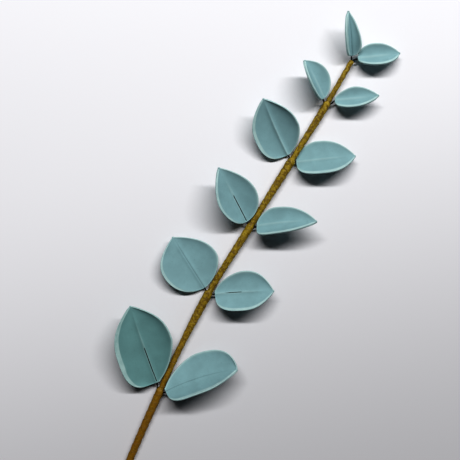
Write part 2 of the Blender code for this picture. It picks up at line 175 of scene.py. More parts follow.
# Leaves: name, then sizes. The pairs are numbered from the top of the sprig.
LEAVES = {
    "leaf_1_left": leaf_sizes(
        (-0.8, 185.4), -37, 17.4, 8.2, 27, 14, 41, 59, 3.6, 183.9,
        droop=12, widest=0.39, skew=0.11, tip_form=1.7, foot_form=2.8, stem_side_form=2.0, bend=-3),
    "leaf_1_right": leaf_sizes(
        (2.0, 185.6), 54, 16.9, 10.2, 9, -16, 23, 49, 3.4, 183.9,
        droop=16, skew=-0.06, tip_form=2.3, foot_form=1.8, stem_side_form=2.0, bend=-8),
    "leaf_2_left": leaf_sizes(
        (-2.4, 164.5), -58, 17.0, 12.2, 19, 36, 23, 51, 4.6, 163.6,
        widest=0.45, foot_form=2.0, stem_side_form=1.8, bend=-4),
    "leaf_2_right": leaf_sizes(
        (2.2, 166.4), 56, 17.3, 9.2, 16, -18, 21, 45, 3.0, 164.4,
        droop=6, widest=0.45, tip_form=2.0, bend=-8),
    "leaf_3_left": leaf_sizes(
        (-3.8, 138.1), -55, 25.3, 19.0, 17, -8, 2, 40, 1.8, 137.2,
        droop=-11, widest=0.42, foot_form=2.6, bend=5, rests=True),
    "leaf_3_right": leaf_sizes(
        (0.9, 137.2), 55, 23.6, 15.2, 15, -26, 7, 41, 1.8, 136.4,
        droop=12, widest=0.42, skew=-0.06, tip_form=2.6, foot_form=2.6, stem_side_form=1.8, rests=True),
    "leaf_4_left": leaf_sizes(
        (-5.2, 106.5), -57, 25.0, 18.0, 20, 16, 17, 42, 3.1, 105.6,
        widest=0.44, skew=0.03, tip_form=2.0, foot_form=1.8, stem_side_form=1.9, showing=(0.03, 0.47)),
    "leaf_4_right": leaf_sizes(
        (-0.5, 106.9), 56, 24.6, 12.8, 21, -32, 14, 49, 3.3, 105.6,
        widest=0.32, tip_form=2.5, foot_form=3.2, stem_side_form=1.7, bend=10),
    "leaf_5_left": leaf_sizes(
        (-7.0, 74.8), -61, 24.1, 23.2, 5, 3, 1, 26, 2.4, 74.0,
        droop=-5, widest=0.45, skew=0.05, foot_form=2.0, stem_side_form=1.7, blunt=0.2, rests=True),
    "leaf_5_right": leaf_sizes(
        (-1.9, 74.8), 57, 23.8, 16.6, 12, -16, 8, 40, 2.8, 73.8,
        widest=0.48, skew=0.03, tip_form=2.7, foot_form=2.6, bend=5, showing=(0.16, 0.44)),
    "leaf_6_left": leaf_sizes(
        (-5.1, 32.4), -47, 33.4, 23.9, 13, 6, 1, 42, 2.6, 30.0,
        skew=-0.05, tip_form=2.8, foot_form=3.0, stem_side_form=1.4, bend=3, showing=(0.06, 0.44)),
    "leaf_6_right": leaf_sizes(
        (-0.2, 31.3), 42, 30.8, 19.6, -3, -42, 11, 45, 4.7, 29.6,
        droop=-28, widest=0.44, skew=0.06, tip_form=3.3, foot_form=3.0, stem_side_form=1.4, rounded=0.4,
        bend=14),
}
LOWEST_LEAF = "leaf_6_left"
SHIFT_LEAF = "leaf_6_left"
# Leaves whose midrib is a crease. The others have a raised one.
CREASED = ("leaf_1_left", "leaf_5_left", "leaf_6_right")
# The leaf whose slit has almost closed over its wire.
NEARLY_SHUT = "leaf_5_right"
# Width of the bevel along each leaf's outer rim, on the side that faces away from the stem's top: the bevel
# is turned down and painted paler as a painted highlight.
BEVELS = {
    "leaf_1_left": 1.5, "leaf_1_right": 0.8, "leaf_2_left": 1.3, "leaf_2_right": 0.8, "leaf_3_left": 1.1,
    "leaf_3_right": 1.2, "leaf_4_left": 0.8, "leaf_4_right": 1.0, "leaf_5_left": 0.8, "leaf_5_right": 1.0,
    "leaf_6_left": 1.7, "leaf_6_right": 1.6,
}


def curve_shares(u):
    """Shares of a smooth curve's start, pull at the start, end and pull at the end, at u along it."""
    return 2 * u**3 - 3 * u**2 + 1, u**3 - 2 * u**2 + u, 3 * u**2 - 2 * u**3, u**3 - u**2


def stem_point(y):
    """A point on the stem's centre line: a smooth curve through STEM_LINE, straight on beyond its ends."""
    line = np.array(STEM_LINE)
    heights, route = line[:, 0], line[:, 1:]
    slopes = np.gradient(route, heights, axis=0)
    i = int(np.clip(np.searchsorted(heights, y) - 1, 0, len(heights) - 2))
    span = heights[i + 1] - heights[i]
    u = float(np.clip((y - heights[i]) / span, 0.0, 1.0))
    past = y - heights[i] - u * span
    start, start_pull, end, end_pull = curve_shares(u)
    blend = np.array((start, start_pull * span, end, end_pull * span))
    x, z = blend @ np.array((route[i], slopes[i], route[i + 1], slopes[i + 1]))
    end_slope = slopes[i + 1] if past > 0 else slopes[i]
    return np.array((x + past * end_slope[0], y, z + past * end_slope[1]))


def tape_radius(y):
    """The tape's outer radius: collars below the leaf pairs, slimmer between them."""
    knots = [(TOP_END_Y, TOP_RADIUS)]
    ends = [collar[0] for collar in COLLARS[1:]] + [CUT_END_Y]
    for (at, above, below, half_way), next_at in zip(COLLARS, ends):
        knots += [
            (at + COLLAR_HALF_STEP, above),
            (at - COLLAR_HALF_STEP, below),
            (at - WIRE_HOLD, below - TAPE_SLIMMING),
            ((at + next_at) / 2, half_way),
        ]
    knots.append((CUT_END_Y, CUT_END_RADIUS))
    knots.reverse()
    return float(np.interp(y, [knot[0] for knot in knots], [knot[1] for knot in knots]))


def half_width(leaf, t, side):
    """Half the blade's width at t along the leaf, on its left (side < 0) or right."""
    widest = leaf["widest"] - side * leaf["skew"]
    tip_form = leaf["tip_form"] - side * leaf["blunt"]
    foot_form = np.where(side * leaf["heading"] < 0, leaf["stem_side_form"], leaf["foot_form"])
    below = np.clip((widest - t) / widest, 0.0, 1.0)
    above = np.clip((t - widest) / (1 - widest), 0.0, 1.0)
    tip_power = np.where(side < 0, 1 - leaf["rounded"], 1.0)
    share = (1 - below**foot_form) ** (1 / foot_form) * (1 - above**tip_form) ** tip_power
    end = NECK_HALF_WIDTH * (1 - t) + TIP_HALF_WIDTH * t
    return np.hypot(share * leaf["width"] / 2, end)


def midrib_frame(leaf, t):
    """The midrib's points and its forward, rightward and upward directions at places t along the leaf."""
    steps = np.linspace(0.0, 1.0, FINE_STEPS + 1)
    rise = np.radians(leaf["pitch"] - leaf["droop"] * steps)
    turn = np.radians(leaf["heading"] + leaf["bend"] * (steps - 0.5))
    forward = np.stack((np.cos(rise) * np.sin(turn), np.cos(rise) * np.cos(turn), np.sin(rise)), axis=1)
    route = np.vstack(([0.0, 0.0, 0.0], np.cumsum((forward[1:] + forward[:-1]) / 2, axis=0)))
    route = route * leaf["length"] / FINE_STEPS + (*leaf["base"], leaf["height"])
    place = np.stack([np.interp(t, steps, route[:, axis]) for axis in range(3)], axis=-1)
    ahead = np.stack([np.interp(t, steps, forward[:, axis]) for axis in range(3)], axis=-1)
    ahead /= np.linalg.norm(ahead, axis=-1, keepdims=True)
    level = np.cross(ahead, (0.0, 0.0, 1.0))
    level /= np.linalg.norm(level, axis=-1, keepdims=True)
    upright = np.cross(level, ahead)
    roll = math.radians(leaf["roll"])
    right = level * math.cos(roll) - upright * math.sin(roll)
    up = level * math.sin(roll) + upright * math.cos(roll)
    return place, ahead, right, up


def ridge(across, t):
    """How far the midrib's ridge is formed, from 0 to 1."""
    return np.exp(-((across / MIDRIB_HALF_WIDTH) ** 2)) * (1 - t**RIDGE_FADE)


def summed(rates):
    """The running sum of rates given at FINE_STEPS equal steps from 0 to 1."""
    return np.concatenate(([0.0], np.cumsum(rates[1:] + rates[:-1]) / 2)) / FINE_STEPS


def section_of(leaf, t, s, narrower=0.0):
    """The blade's cross-section: distance from the midrib, height, slope and thickness at s across it."""
    side = np.where(np.signbit(s), -1.0, 1.0)
    reach = np.abs(s)
    parts = np.linspace(0.0, 1.0, FINE_STEPS + 1)
    slopes = np.radians(leaf["fold"] + (leaf["curl"] - leaf["fold"]) * parts**2)
    width = half_width(leaf, t, side) - narrower
    across = width * np.interp(reach, parts, summed(np.cos(slopes)))
    lift = width * np.interp(reach, parts, summed(np.sin(slopes)))
    slope = np.interp(reach, parts, slopes) * np.minimum(across / MIDRIB_HALF_WIDTH, 1.0)
    middle = ridge(reach * width, t)
    thickness = BLADE_THICKNESS + (MIDRIB_THICKNESS - BLADE_THICKNESS) * middle
    return side, across, lift + RIDGE_HEIGHT * ridge(across, t), slope, thickness


def crowded(u):
    """Places along the leaf at even steps u, drawn towards its two ends, as a column."""
    return (u + ROW_CROWDING * ((1 - np.cos(np.pi * u)) / 2 - u))[:, None]


def coarse_blade(leaf):
    """The corners of the leaf's plain solid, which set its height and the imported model's shift."""
    t = crowded(np.arange(ROWS + 1) / ROWS)
    s = np.array(COLUMNS)[None, :]
    side, across, lift, slope, thickness = section_of(leaf, t, s)
    thickness = np.where((np.abs(s) == 1.0) | (t >= TIP_FROM), RIM_THICKNESS, thickness)
    place, _, right, up = midrib_frame(leaf, t[:, 0])
    corners = []
    for depth in (0.0, 1.0):
        out = across + depth * thickness * np.sin(slope)
        high = lift - depth * thickness * np.cos(slope)
        sideways = right[:, None] * (side * out)[..., None]
        corners.append(place[:, None] + sideways + up[:, None] * high[..., None])
    return np.concatenate(corners).reshape(-1, 3)


for sizes in LEAVES.values():
    if sizes["rests"]:
        sizes["height"] -= float(coarse_blade(sizes)[:, 2].min())
SHIFT = np.array(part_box(SHIFT_LEAF)[0]) - coarse_blade(LEAVES[SHIFT_LEAF]).min(axis=0) * MM
SHIFT[2] = 0.0


def placed(points):
    """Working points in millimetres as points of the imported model's frame."""
    return np.asarray(points) * MM + SHIFT


class SprigLeafSettings(bpy.types.PropertyGroup):
    """Sizes and colours of the paste leaves."""

    paste_colour: bpy.props.FloatVectorProperty(
        name="Paste", description="Colour of the leaf paste", subtype="COLOR", size=3, min=0, max=1,
        default=(0.228, 0.375, 0.398))
    # Painted shade: a darker copy of the paste for the lowest left leaf, standing in for the shade on its
    # face.
    lowest_leaf_shade_colour: bpy.props.FloatVectorProperty(
        name="Lowest leaf", description="Colour of the darker leaf on the lowest left wire",
        subtype="COLOR", size=3, min=0, max=1, default=(0.150, 0.290, 0.290))
    # The rims' paler colour is partly the paste's own dusting and partly a painted highlight where the rims
    # catch the light.
    rim_dust_and_highlight_colour: bpy.props.FloatVectorProperty(
        name="Rim", description="Paler colour that the rims are dusted with", subtype="COLOR", size=3,
        min=0, max=1, default=(0.46, 0.62, 0.60))
    rim_dust_and_highlight_tint: bpy.props.FloatProperty(
        name="Rim tint", description="How strongly the rims are dusted", subtype="FACTOR", min=0, max=1,
        default=0.75)
    rim_reach: bpy.props.FloatProperty(
        name="Rim reach", description="How far the dusting reaches in from the rim", subtype="DISTANCE",
        unit="LENGTH", min=0.0001, default=0.3 * MM)
    rounding: bpy.props.FloatProperty(
        name="Rounding", description="How far the soft rim is rounded in", subtype="DISTANCE",
        unit="LENGTH", min=0.0, default=0.25 * MM)
    grain: bpy.props.FloatProperty(
        name="Grain", description="Size of the paste's surface grain", subtype="DISTANCE", unit="LENGTH",
        min=0.00005, default=0.35 * MM)
    grain_depth: bpy.props.FloatProperty(
        name="Grain depth", description="Height of the paste's surface grain", subtype="DISTANCE",
        unit="LENGTH", min=0.0, default=0.05 * MM)


class SprigStemSettings(bpy.types.PropertyGroup):
    """Sizes and colours of the wires and of the tape wound round them."""

    tape_colour: bpy.props.FloatVectorProperty(
        name="Tape", description="Colour of the tape where light catches it", subtype="COLOR", size=3,
        min=0, max=1, default=(0.35, 0.245, 0.018))
    # Painted highlight: golden flecks that stand in for the crepe's glints.
    fleck_highlight_colour: bpy.props.FloatVectorProperty(
        name="Flecks", description="Golden colour of the tape's rubbed flecks", subtype="COLOR", size=3,
        min=0, max=1, default=(0.50, 0.39, 0.06))
    foot_colour: bpy.props.FloatVectorProperty(
        name="Foot", description="Redder colour that the tape takes on towards the cut end",
        subtype="COLOR", size=3, min=0, max=1, default=(0.23, 0.105, 0.008))
    tape_shade: bpy.props.FloatVectorProperty(
        name="Tape shade", description="Colour of the tape in its creases and overlaps", subtype="COLOR",
        size=3, min=0, max=1, default=(0.090, 0.048, 0.006))
    wire_colour: bpy.props.FloatVectorProperty(
        name="Leaf wire", description="Colour of the covered wires in the leaves", subtype="COLOR", size=3,
        min=0, max=1, default=(0.006, 0.006, 0.005))
    core_colour: bpy.props.FloatVectorProperty(
        name="Core wire", description="Colour of the bare core wire", subtype="COLOR", size=3, min=0,
        max=1, default=(0.42, 0.40, 0.37))
    wrap_pitch: bpy.props.FloatProperty(
        name="Wrap pitch", description="Distance along the stem from one turn of tape to the next",
        subtype="DISTANCE", unit="LENGTH", min=0.0005, default=3.6 * MM)
    wrap_step: bpy.props.FloatProperty(
        name="Wrap step", description="Height of each turn's edge over the turn below",
        subtype="DISTANCE", unit="LENGTH", min=0.0, default=0.20 * MM)
    tape_sides: bpy.props.IntProperty(
        name="Tape sides", description="Corners of the tape's round section", min=8, max=64, default=28)


class SprigStageSettings(bpy.types.PropertyGroup):
    """The table, the lights and the camera."""

    floor_colour: bpy.props.FloatVectorProperty(
        name="Floor", description="Colour of the pale table", subtype="COLOR", size=3, min=0, max=1,
        default=(0.78, 0.775, 0.80))
    # Painted shade: the table's colour darkens towards the foot of the picture.
    floor_shade: bpy.props.FloatProperty(
        name="Floor shade", description="Tone that the table deepens to at the foot of the picture",
        subtype="FACTOR", min=0, max=1, default=0.70)
    light_power: bpy.props.FloatProperty(
        name="Light", description="Power of the soft light beyond the top of the picture", subtype="POWER",
        unit="POWER", min=0, default=59.0)
    light_width: bpy.props.FloatProperty(
        name="Light width", description="Width of the soft light across the picture", subtype="DISTANCE",
        unit="LENGTH", min=0.01, default=1.95)
    light_depth: bpy.props.FloatProperty(
        name="Light depth", description="Size of the soft light the other way", subtype="DISTANCE",
        unit="LENGTH", min=0.01, default=0.26)
    fill: bpy.props.FloatProperty(
        name="Fill", description="Brightness of the surrounding room", min=0, default=0.015)
    camera_height: bpy.props.FloatProperty(
        name="Camera height", description="Height of the camera over the table", subtype="DISTANCE",
        unit="LENGTH", min=0.1, default=0.36)
    view_width: bpy.props.FloatProperty(
        name="View width", description="Width of the picture at the leaves' height",
        subtype="DISTANCE", unit="LENGTH", min=0.05, default=0.184)


class Value:
    """A number in a node tree. Arithmetic on it adds the tree's Math nodes."""

    def __init__(self, nodes, socket):
        self.nodes = nodes
        self.socket = socket

    def math(self, operation, *values):
        settings = {"operation": operation}
        return self.nodes.value("ShaderNodeMath", settings, dict(enumerate(values)))

    def __add__(self, other):
        return self.math("ADD", self, other)

    def __sub__(self, other):
        return self.math("SUBTRACT", self, other)

    def __rsub__(self, other):
        return self.math("SUBTRACT", other, self)

    def __mul__(self, other):
        return self.math("MULTIPLY", self, other)

    def __truediv__(self, other):
        return self.math("DIVIDE", self, other)

    __radd__ = __add__
    __rmul__ = __mul__

    def floor(self):
        return self.math("FLOOR", self)

    def spread(self, least, width):
        """A number from 0 to 1 spread over a range that starts at least."""
        return self * width + least

    def eased(self, low, high):
        """0 below low, 1 above high, and a smooth step between them."""
        settings = {"interpolation_type": "SMOOTHSTEP"}
        sockets = {"Value": self, "From Min": low, "From Max": high}
        return self.nodes.value("ShaderNodeMapRange", settings, sockets)


class NodeMaker:
    """One node tree and the method that adds each of its nodes."""

    def __init__(self, tree):
        self.tree = tree

    def add(self, kind, settings=None, sockets=None):
        """A new node: its settings are set first, then each named or numbered socket is fed."""
        node = self.tree.nodes.new(kind)
        for name, setting in (settings or {}).items():
            if name == "captures":
                for kind_of_item, item in setting:
                    node.capture_items.new(kind_of_item, item)
            else:
                setattr(node, name, setting)
        for name, value in (sockets or {}).items():
            self.feed(node.inputs[name], value)
        return node

    def feed(self, socket, value):
        if isinstance(value, Value):
            self.tree.links.new(value.socket, socket)
        elif isinstance(value, bpy.types.NodeSocket):
            self.tree.links.new(value, socket)
        else:
            socket.default_value = value

    def value(self, kind, settings=None, sockets=None, output=0):
        """A number that a new node gives, ready for arithmetic."""
        return Value(self, self.add(kind, settings, sockets).outputs[output])

    def noise(self, vector, scale, detail=2.0, roughness=0.5):
        sockets = {"Vector": vector, "Scale": scale, "Detail": detail, "Roughness": roughness}
        return self.value("ShaderNodeTexNoise", None, sockets)

    def mixed(self, factor, first, second):
        """A colour between two others, by the sockets that the node has for colours."""
        node = self.add("ShaderNodeMix", {"data_type": "RGBA"})
        self.feed(node.inputs[0], factor)
        self.feed(node.inputs[6], first)
        self.feed(node.inputs[7], second)
        return node.outputs[2]

    def attribute(self, name):
        """A number kept on the piece's own points."""
        return self.value("ShaderNodeAttribute", {"attribute_name": name}, output="Fac")

    def object_place(self):
        return self.add("ShaderNodeTexCoord").outputs["Object"]

    def bump(self, height, distance):
        return self.add("ShaderNodeBump", None, {"Height": height, "Distance": distance}).outputs[0]


def new_finish(name, **constants):
    """A material, its node maker and its shader, with the constants set on the shader's own sockets."""
    finish = bpy.data.materials.new(name)
    finish.use_nodes = True
    nodes = NodeMaker(finish.node_tree)
    shader = finish.node_tree.nodes["Principled BSDF"]
    for socket, value in constants.items():
        shader.inputs[socket.replace("_", " ")].default_value = value
    return finish, nodes, shader


def dimmed(colour, share=1.0):
    """A colour made darker or lighter by a share, and fully solid."""
    return (*(channel * share for channel in colour), 1.0)


# Paste: noise scales for each metre, the parts of the noise that show, and the tones and shares mixed in.
MOTTLE_SCALE = 180.0
MOTTLE_BAND = (0.3, 0.7)
MOTTLE_TONES = (0.94, 1.06)
SPECKS_PER_GRAIN = 0.55
SPECK_BAND = (0.66, 0.74)
SPECK_SHARE = 0.35
SPECK_TONE = 0.72
SPECK_HEIGHT = 0.4
# Patches in the rims' paler colour, which is partly dusting and partly painted highlight.
RIM_PATCH_SCALE = 420.0
RIM_PATCH_BAND = (0.25, 0.75)
RIM_PATCH_SPREAD = (0.65, 0.35)
# The midrib: a painted highlight along a raised crest, and painted shade along a crease.
RIDGE_HIGHLIGHT_BAND = (0.5, 1.0)
RIDGE_HIGHLIGHT_SHARE = 0.22
CREASE_SHADE_BAND = (-0.3, -1.0)
CREASE_SHADE_SHARE = 0.35
CREASE_SHADE_TONE = 0.45
PASTE_ROUGHNESS = (0.74, 0.14)

# Tape: the same, and how often its crinkles repeat along the strip and across it.
CRINKLE_REPEATS = (30.0, 2.5)
CRINKLE_SCALE = 1.6
CRINKLE_BAND = (0.3, 0.72)
CRINKLE_HEIGHT = 0.07
CLOUD_SCALE = 700.0
CLOUD_BAND = (0.38, 0.62)
CLOUD_SHARE = 0.5
# Painted highlight: golden flecks standing in for the crepe's glints.
FLECK_HIGHLIGHT_SCALE = 1500.0
FLECK_HIGHLIGHT_BAND = (0.52, 0.66)
FLECK_HIGHLIGHT_SHARE = 0.5
# Painted shade along the edge of each turn of tape, where it steps over the turn below.
UPPER_EDGE_SHADE_BAND = (0.88, 0.98)
LOWER_EDGE_SHADE_BAND = (0.0, 0.10)
EDGE_SHADE_SHARE = 0.7
EDGE_SHADE_TONE = 0.45
EARTHY_SPREAD = (0.5, 0.4)
TAPE_ROUGHNESS = (0.42, 0.25)

# Wires: the fibre of the leaf wires' cover, and the core wire's tarnish.
FIBRE_SCALE = 2400.0
FIBRE_TONES = (0.6, 1.8)
FIBRE_HEIGHT = 0.02
COVER_ROUGHNESS = (0.65, 0.2)
TARNISH_SCALE = 900.0
TARNISH_TONE = 0.6
TARNISH_HEIGHT = 0.01
CORE_ROUGHNESS = (0.3, 0.25)


def paste_finish(name, colour, leaves):
    """Matte flower paste: soft mottling, fine grain, rims paler with dust and a painted highlight, a painted
    highlight along a raised midrib and painted shade along a creased one.
    """
    finish, nodes, shader = new_finish(name, Specular_IOR_Level=0.3)
    place = nodes.object_place()
    mottle = nodes.noise(place, MOTTLE_SCALE, 3.0).eased(*MOTTLE_BAND)
    grain = nodes.noise(place, 1 / leaves.grain, 3.0, 0.6)
    speck = nodes.noise(place, SPECKS_PER_GRAIN / leaves.grain, 1.0).eased(*SPECK_BAND)
    body = nodes.mixed(mottle, *(dimmed(colour, tone) for tone in MOTTLE_TONES))
    body = nodes.mixed(speck * SPECK_SHARE, body, dimmed(colour, SPECK_TONE))
    patchy = nodes.noise(place, RIM_PATCH_SCALE).eased(*RIM_PATCH_BAND).spread(*RIM_PATCH_SPREAD)
    # The rims are mixed towards the paler rim colour: partly the paste's own dusting, partly a painted
    # highlight.
    dusted = nodes.attribute("rim") * patchy * leaves.rim_dust_and_highlight_tint
    rim_dust_and_highlight_colour = dimmed(leaves.rim_dust_and_highlight_colour)
    body = nodes.mixed(dusted, body, rim_dust_and_highlight_colour)
    midrib_highlight_and_shade = nodes.attribute("ridge")
    # Painted highlight along a raised midrib's crest.
    body = nodes.mixed(midrib_highlight_and_shade.eased(*RIDGE_HIGHLIGHT_BAND) * RIDGE_HIGHLIGHT_SHARE, body, rim_dust_and_highlight_colour)
    # Painted shade along a creased midrib.
    body = nodes.mixed(midrib_highlight_and_shade.eased(*CREASE_SHADE_BAND) * CREASE_SHADE_SHARE, body, dimmed(colour, CREASE_SHADE_TONE))
    nodes.feed(shader.inputs["Base Color"], body)
    nodes.feed(shader.inputs["Roughness"], grain.spread(*PASTE_ROUGHNESS))
    nodes.feed(shader.inputs["Normal"], nodes.bump(grain + speck * SPECK_HEIGHT, leaves.grain_depth))
    return finish


def tape_finish(stem):
    """Waxy crepe tape: crinkles along the strip, golden flecks painted as highlights, painted shade along
    each turn's edge and a redder foot.
    """
    finish, nodes, shader = new_finish("Floral tape", Specular_IOR_Level=0.25)
    strip = nodes.attribute("strip")
    across = nodes.attribute("across")
    flat = nodes.add("ShaderNodeCombineXYZ", None, {
        "X": strip * CRINKLE_REPEATS[0], "Y": across * CRINKLE_REPEATS[1]}).outputs[0]
    crinkle = nodes.noise(flat, CRINKLE_SCALE, 3.0, 0.6)
    place = nodes.object_place()
    cloud = nodes.noise(place, CLOUD_SCALE).eased(*CLOUD_BAND)
    # Painted highlight: golden flecks standing in for the crepe's glints.
    fleck_highlight = nodes.noise(place, FLECK_HIGHLIGHT_SCALE, 1.0).eased(*FLECK_HIGHLIGHT_BAND)
    # Painted shade along each turn's edge, where it steps over the turn below.
    edge = across.eased(*UPPER_EDGE_SHADE_BAND) + (1 - across.eased(*LOWER_EDGE_SHADE_BAND))
    tone = crinkle.eased(*CRINKLE_BAND) * (1 - CLOUD_SHARE) + cloud * CLOUD_SHARE
    body = nodes.mixed(tone, dimmed(stem.tape_shade), dimmed(stem.tape_colour))
    body = nodes.mixed(fleck_highlight * FLECK_HIGHLIGHT_SHARE, body, dimmed(stem.fleck_highlight_colour))
    up_stem = nodes.value("ShaderNodeSeparateXYZ", None, {0: place}, output="Y")
    earthy = up_stem.eased(EARTHY_FROM, EARTHY_TO) * cloud.spread(*EARTHY_SPREAD)
    body = nodes.mixed(earthy, body, dimmed(stem.foot_colour))
    body = nodes.mixed(edge * EDGE_SHADE_SHARE, body, dimmed(stem.tape_shade, EDGE_SHADE_TONE))
    nodes.feed(shader.inputs["Base Color"], body)
    nodes.feed(shader.inputs["Roughness"], crinkle.spread(*TAPE_ROUGHNESS))
    nodes.feed(shader.inputs["Normal"], nodes.bump(crinkle, CRINKLE_HEIGHT * MM))
    return finish


def covered_wire_finish(stem):
    """Thin paper-covered wire, almost black, with a little fibre in its cover."""
    finish, nodes, shader = new_finish("Covered wire", Specular_IOR_Level=0.2)
    fibre = nodes.noise(nodes.object_place(), FIBRE_SCALE)
    body = nodes.mixed(fibre, *(dimmed(stem.wire_colour, tone) for tone in FIBRE_TONES))
    nodes.feed(shader.inputs["Base Color"], body)
    nodes.feed(shader.inputs["Roughness"], fibre.spread(*COVER_ROUGHNESS))
    nodes.feed(shader.inputs["Normal"], nodes.bump(fibre, FIBRE_HEIGHT * MM))
    return finish


def core_wire_finish(stem):
    """Bare drawn wire with a little tarnish."""
    finish, nodes, shader = new_finish("Drawn wire", Metallic=1.0)
    tarnish = nodes.noise(nodes.object_place(), TARNISH_SCALE, 3.0)
    body = nodes.mixed(tarnish, dimmed(stem.core_colour), dimmed(stem.core_colour, TARNISH_TONE))
    nodes.feed(shader.inputs["Base Color"], body)
    nodes.feed(shader.inputs["Roughness"], tarnish.spread(*CORE_ROUGHNESS))
    nodes.feed(shader.inputs["Normal"], nodes.bump(tarnish, TARNISH_HEIGHT * MM))
    return finish


def new_tree(name, inputs):
    """An empty geometry tree with named inputs for a piece's sizes: its node maker and its group input."""
    tree = bpy.data.node_groups.new(name, "GeometryNodeTree")
    tree.interface.new_socket("Geometry", in_out="INPUT", socket_type="NodeSocketGeometry")
    tree.interface.new_socket("Geometry", in_out="OUTPUT", socket_type="NodeSocketGeometry")
    for label, kind in inputs.items():
        tree.interface.new_socket(label, in_out="INPUT", socket_type=kind)
    nodes = NodeMaker(tree)
    return nodes, nodes.add("NodeGroupInput").outputs


def finish_tree(nodes, geometry, material):
    """Ends a geometry tree with its material, plain mesh and smooth shading."""
    smooth = nodes.add("GeometryNodeSetShadeSmooth", None, {"Geometry": geometry}).outputs[0]
    plain = nodes.add("GeometryNodeRealizeInstances", None, {"Geometry": smooth}).outputs[0]
    done = nodes.add("GeometryNodeSetMaterial", None, {"Geometry": plain, "Material": material})
    nodes.add("NodeGroupOutput", None, {"Geometry": done.outputs[0]})
    return nodes.tree


def wound_tape_tree():
    """Tape wound round a route: a tube whose surface steps up at each turn's edge, in one long spiral."""
    nodes, given = new_tree("Wound tape", {
        "Wrap pitch": "NodeSocketFloat", "Wrap step": "NodeSocketFloat", "Sides": "NodeSocketInt",
        "Material": "NodeSocketMaterial",
    })
    along = nodes.add("GeometryNodeSplineParameter").outputs["Length"]
    route = nodes.add(
        "GeometryNodeCaptureAttribute", {"captures": (("FLOAT", "Along"), ("VECTOR", "Middle"))},
        {"Geometry": given["Geometry"], "Along": along,
         "Middle": nodes.add("GeometryNodeInputPosition").outputs[0]})
    circle = nodes.add("GeometryNodeCurvePrimitiveCircle", None, {"Resolution": given["Sides"]})
    section = nodes.add(
        "GeometryNodeCaptureAttribute", {"captures": (("FLOAT", "Around"),)},
        {"Geometry": circle.outputs["Curve"],
         "Around": nodes.add("GeometryNodeSplineParameter").outputs["Factor"]})
    tube = nodes.add("GeometryNodeCurveToMesh", None, {
        "Curve": route.outputs["Geometry"], "Profile Curve": section.outputs["Geometry"],
        "Scale": nodes.add("GeometryNodeInputRadius").outputs[0], "Fill Caps": True,
    })
    turn = Value(nodes, route.outputs["Along"]) / Value(nodes, given["Wrap pitch"])
    around = Value(nodes, section.outputs["Around"])
    wound = turn - around
    number = wound.floor()
    across = wound - number
    relief = (across - 0.5) * Value(nodes, given["Wrap step"])
    here = nodes.add("GeometryNodeInputPosition").outputs[0]
    outward = nodes.add(
        "ShaderNodeVectorMath", {"operation": "SUBTRACT"}, {0: here, 1: route.outputs["Middle"]})
    unit = nodes.add("ShaderNodeVectorMath", {"operation": "NORMALIZE"}, {0: outward.outputs[0]})
    push = nodes.add("ShaderNodeVectorMath", {"operation": "SCALE"}, {0: unit.outputs[0], "Scale": relief})
    pushed = nodes.add("ShaderNodeVectorMath", None, {0: here, 1: push.outputs[0]})
    # No lower than the table, so the tape lies flat under the cut end.
    flattened = nodes.add(
        "ShaderNodeVectorMath", {"operation": "MAXIMUM"}, {0: pushed.outputs[0], 1: LOWEST_TAPE_PLACE})
    kept = nodes.add("GeometryNodeSetPosition", None, {
        "Geometry": tube.outputs["Mesh"], "Position": flattened.outputs[0]})
    for name, number_kept in (("strip", number + around), ("across", across)):
        kept = nodes.add(
            "GeometryNodeStoreNamedAttribute", {"data_type": "FLOAT", "domain": "POINT"},
            {"Geometry": kept.outputs[0], "Name": name, "Value": number_kept})
    return finish_tree(nodes, kept.outputs[0], given["Material"])


def wire_tree():
    """Round wire along a route, closed at both ends."""
    nodes, given = new_tree("Wire on its route", {
        "Sides": "NodeSocketInt", "Material": "NodeSocketMaterial",
    })
    circle = nodes.add("GeometryNodeCurvePrimitiveCircle", None, {"Resolution": given["Sides"]})
    tube = nodes.add("GeometryNodeCurveToMesh", None, {
        "Curve": given["Geometry"], "Profile Curve": circle.outputs["Curve"],
        "Scale": nodes.add("GeometryNodeInputRadius").outputs[0], "Fill Caps": True,
    })
    return finish_tree(nodes, tube.outputs["Mesh"], given["Material"])


def along_route(name, points, radii, tree, inputs):
    """The mesh that a geometry tree makes along a route, as a piece of its own."""
    curve = bpy.data.curves.new(name + "_route", "CURVE")
    curve.dimensions = "3D"
    spline = curve.splines.new("POLY")
    spline.points.add(len(points) - 1)
    for knot, place, radius in zip(spline.points, placed(points), radii):
        knot.co = (*place, 1.0)
        knot.radius = radius * MM
    route = bpy.data.objects.new(name + "_route", curve)
    bpy.context.scene.collection.objects.link(route)
    modifier = route.modifiers.new(tree.name, "NODES")
    modifier.node_group = tree
    for item in tree.interface.items_tree:
        if item.in_out == "INPUT" and item.name in inputs:
            modifier[item.identifier] = inputs[item.name]
    shape = route.evaluated_get(bpy.context.evaluated_depsgraph_get())
    mesh = bpy.data.meshes.new_from_object(shape, preserve_all_data_layers=True)
    mesh.name = name
    bpy.data.objects.remove(route, do_unlink=True)
    return shown_piece(name, mesh)


def shown_piece(name, mesh):
    """A piece of the sprig that rides on its one body."""
    piece = bpy.data.objects.new(name, mesh)
    bpy.context.scene.collection.objects.link(piece)
    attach(piece, BODY)
    return piece


def wire_depth(leaf, t):
    """How far the leaf wire's middle lies below the blade's upper face."""
    if leaf["showing"] is None:
        return BURIED_DEPTH
    first, _ = leaf["showing"]
    rise = np.interp(t, (first, first + SHOWING_FADE), (0.0, 1.0))
    return BURIED_DEPTH + (SHOWING_DEPTH - BURIED_DEPTH) * float(rise)


